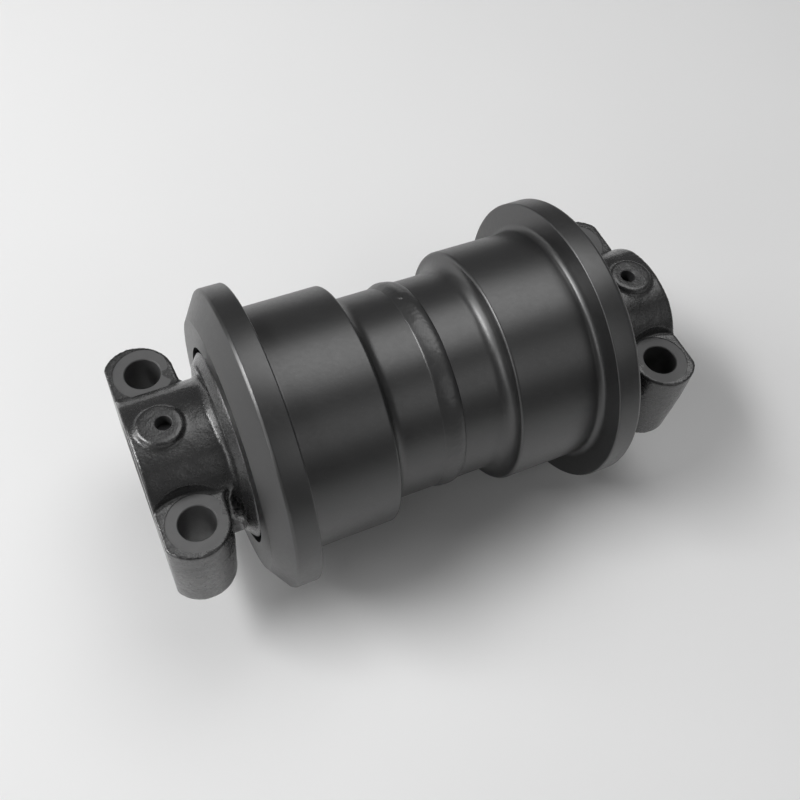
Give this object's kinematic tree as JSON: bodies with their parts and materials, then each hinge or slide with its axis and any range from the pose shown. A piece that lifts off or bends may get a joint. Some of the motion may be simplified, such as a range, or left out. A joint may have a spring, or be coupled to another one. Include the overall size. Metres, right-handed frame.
{
  "type": "track bottom roller",
  "caption": "Double-flange track bottom roller of a crawler excavator: a welded shell turns on a fixed shaft held in cast collars that bolt up to the track frame.",
  "frame": {"origin": "middle of the roller on its axis of rotation, halfway between the two collar end faces", "axes": "+Y along the roller's axis, towards the shaft end with the oil plug; +Z towards the bolt heads, away from the track frame; the collars' mounting faces look along -Z; +X across the track, by the right-hand rule"},
  "size_m": [0.2206, 0.408, 0.2206],
  "materials": {
    "roller_paint": "satin black paint over forged and turned steel",
    "weld_paint": "satin black paint over weld metal",
    "casting_paint": "semi-gloss black paint over rough cast steel",
    "shaft_steel": "ground steel, its ends painted over with the collars",
    "pin_steel": "oiled steel",
    "plug_steel": "black-oxide steel",
    "washer_copper": "soft copper",
    "bush_bronze": "bronze",
    "seal_iron": "lapped alloy iron",
    "seal_rubber": "nitrile rubber"
  },
  "bodies": {
    "fixed": {"shaft": "shaft_steel", "collar_left": "casting_paint", "collar_right": "casting_paint", "lock_pin_left": "pin_steel", "lock_pin_right": "pin_steel", "shaft_oring_left": "seal_rubber", "shaft_oring_right": "seal_rubber", "fixed_seal_ring_left": "seal_iron", "fixed_seal_ring_right": "seal_iron", "fixed_seal_rubber_left": "seal_rubber", "fixed_seal_rubber_right": "seal_rubber", "oil_plug": "plug_steel", "plug_washer": "washer_copper"},
    "roller": {"roller_half_left": "roller_paint", "roller_half_right": "roller_paint", "weld_bead": "weld_paint", "bush_left": "bush_bronze", "bush_right": "bush_bronze", "rotating_seal_ring_left": "seal_iron", "rotating_seal_ring_right": "seal_iron", "rotating_seal_rubber_left": "seal_rubber", "rotating_seal_rubber_right": "seal_rubber"}
  },
  "joints": [
    {"name": "roller_spin", "type": "hinge", "parent": "fixed", "child": "roller", "pos_m": [0, 0, 0], "axis": [0, 1, 0], "continuous": true}
  ]
}
